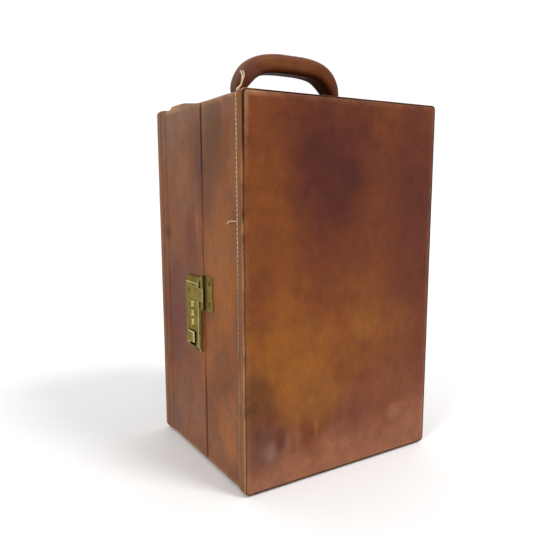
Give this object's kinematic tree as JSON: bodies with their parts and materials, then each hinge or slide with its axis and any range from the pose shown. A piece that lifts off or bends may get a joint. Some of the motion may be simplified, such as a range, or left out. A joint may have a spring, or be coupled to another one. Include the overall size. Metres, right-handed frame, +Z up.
{
  "type": "flight bag",
  "caption": "Upright leather-covered hard case that opens like a book, with a top carrying handle, a three-dial combination lock with hasp, and a long pin hinge at the back.",
  "frame": {"origin": "on the floor, under the middle of the object's bounding box", "axes": "+Z up, -X towards the lock side, +X towards the hinge side, -Y out of the lid's face, +Y out of the body's face"},
  "size_m": [0.2636, 0.218, 0.4708],
  "materials": {
    "wall_leather": "aged mottled brown, satin",
    "face_leather": "aged mottled tan and reddish brown, satin",
    "binding_leather": "golden tan with cream stitching",
    "grip_leather": "reddish brown, worn smooth",
    "lining": "brown woven cotton",
    "board": "plain poplar plywood",
    "brass": "aged lacquered brass",
    "dial_brass": "brushed bright brass",
    "steel": "plain drawn steel"
  },
  "bodies": {
    "body": {"body_top_board": "board", "body_bottom_board": "board", "body_front_board": "board", "body_back_board": "board", "body_face_board": "board", "body_wall_leather": "wall_leather", "body_edge_binding": "binding_leather", "body_face_leather": "face_leather", "body_lining": "lining", "handle_front_pin": "steel", "handle_back_pin": "steel", "hinge_pin": "steel", "dial_spindle": "steel", "slider_spring": "steel", "handle_front_bracket": "brass", "handle_back_bracket": "brass", "handle_rivet_1": "brass", "handle_rivet_2": "brass", "handle_rivet_3": "brass", "handle_rivet_4": "brass", "hinge_body_leaf": "brass", "hinge_body_screw_1": "brass", "hinge_body_screw_2": "brass", "hinge_body_screw_3": "brass", "lock_base": "brass", "lock_cover": "brass", "lock_screw_1": "brass", "lock_screw_2": "brass", "body_glide_1": "brass", "body_glide_2": "brass", "body_glide_3": "brass", "body_glide_4": "brass"},
    "lid": {"lid_top_board": "board", "lid_bottom_board": "board", "lid_front_board": "board", "lid_back_board": "board", "lid_face_board": "board", "lid_wall_leather": "wall_leather", "lid_edge_binding": "binding_leather", "lid_face_leather": "face_leather", "lid_lining": "lining", "lid_glide_1": "brass", "lid_glide_2": "brass", "hinge_lid_leaf": "brass", "hinge_lid_screw_1": "brass", "hinge_lid_screw_2": "brass", "hinge_lid_screw_3": "brass", "hasp_plate": "brass", "hasp_pin": "steel", "hasp_rivet_1": "brass", "hasp_rivet_2": "brass"},
    "hasp": {"hasp_flap": "brass"},
    "handle": {"handle_grip": "grip_leather", "handle_frame": "steel"},
    "slider": {"release_slider": "brass", "latch_bolt": "steel"},
    "dial_upper": {"upper_dial": "dial_brass"},
    "dial_middle": {"middle_dial": "dial_brass"},
    "dial_lower": {"lower_dial": "dial_brass"}
  },
  "joints": [
    {"name": "lid_hinge", "type": "hinge", "parent": "body", "child": "lid", "pos_m": [0.1292, -0.016, 0.205], "axis": [0, 0, 1], "range_deg": [0, 170]},
    {"name": "hasp_hinge", "type": "hinge", "parent": "lid", "child": "hasp", "pos_m": [-0.1268, -0.016, 0.1983], "axis": [0, 0, 1], "range_deg": [0, 135]},
    {"name": "handle_swing", "type": "hinge", "parent": "body", "child": "handle", "pos_m": [0.001, 0.01, 0.414], "axis": [1, 0, 0], "range_deg": [-70, 70]},
    {"name": "slider_travel", "type": "slide", "parent": "body", "child": "slider", "axis": [0, 0, -1], "range_m": [0, 0.004], "stiffness_N_per_m": 300, "springref_m": -0.002, "deforming": ["slider_spring"]},
    {"name": "upper_dial_spin", "type": "hinge", "parent": "body", "child": "dial_upper", "pos_m": [-0.1235, 0.0075, 0.1854], "axis": [0, 0, 1], "continuous": true},
    {"name": "middle_dial_spin", "type": "hinge", "parent": "body", "child": "dial_middle", "pos_m": [-0.1235, 0.0075, 0.175], "axis": [0, 0, 1], "continuous": true},
    {"name": "lower_dial_spin", "type": "hinge", "parent": "body", "child": "dial_lower", "pos_m": [-0.1235, 0.0075, 0.1646], "axis": [0, 0, 1], "continuous": true}
  ]
}
